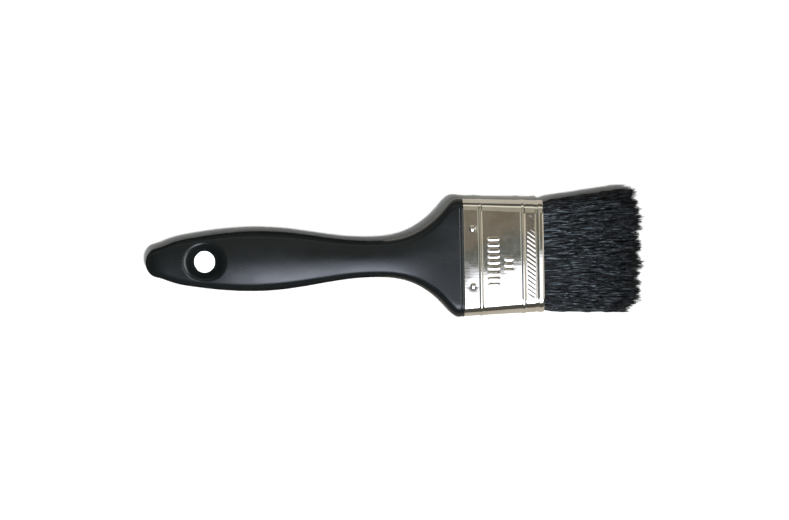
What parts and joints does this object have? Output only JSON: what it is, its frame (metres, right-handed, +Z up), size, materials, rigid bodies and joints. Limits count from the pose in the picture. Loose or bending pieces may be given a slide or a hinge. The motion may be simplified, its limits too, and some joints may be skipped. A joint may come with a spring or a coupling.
{
  "type": "flat paint brush",
  "caption": "Flat 50 mm paint brush with a black moulded beavertail handle, a nailed nickel plated ferrule and black bristles that flex at the mouth.",
  "frame": {"origin": "under the middle of the bounding box, on the surface that the brush lies on", "axes": "+X along the brush from the handle's tail to the bristle tips, +Y across its width, +Z up out of the broad face"},
  "size_m": [0.2186, 0.055, 0.0155],
  "materials": {
    "handle_plastic": "satin",
    "ferrule_nickel": "polished",
    "nail_nickel": "polished",
    "resin": "gloss",
    "plug_wood": "matte",
    "bristle": "satin"
  },
  "bodies": {
    "brush": {"handle": "handle_plastic", "ferrule": "ferrule_nickel", "nail_top_left": "nail_nickel", "nail_top_right": "nail_nickel", "nail_bottom_left": "nail_nickel", "nail_bottom_right": "nail_nickel", "resin_block": "resin", "spacer_plug_top": "plug_wood", "spacer_plug_bottom": "plug_wood", "bristle_root_top": "bristle", "bristle_root_middle": "bristle", "bristle_root_bottom": "bristle"},
    "tuft": {"bristle_tuft": "bristle"}
  },
  "joints": [
    {"name": "bristle_flex", "type": "hinge", "parent": "brush", "child": "tuft", "pos_m": [0.0664, 0, 0.00775], "axis": [0, -1, 0], "range_deg": [-15, 15], "stiffness_Nm_per_rad": 0.25}
  ]
}
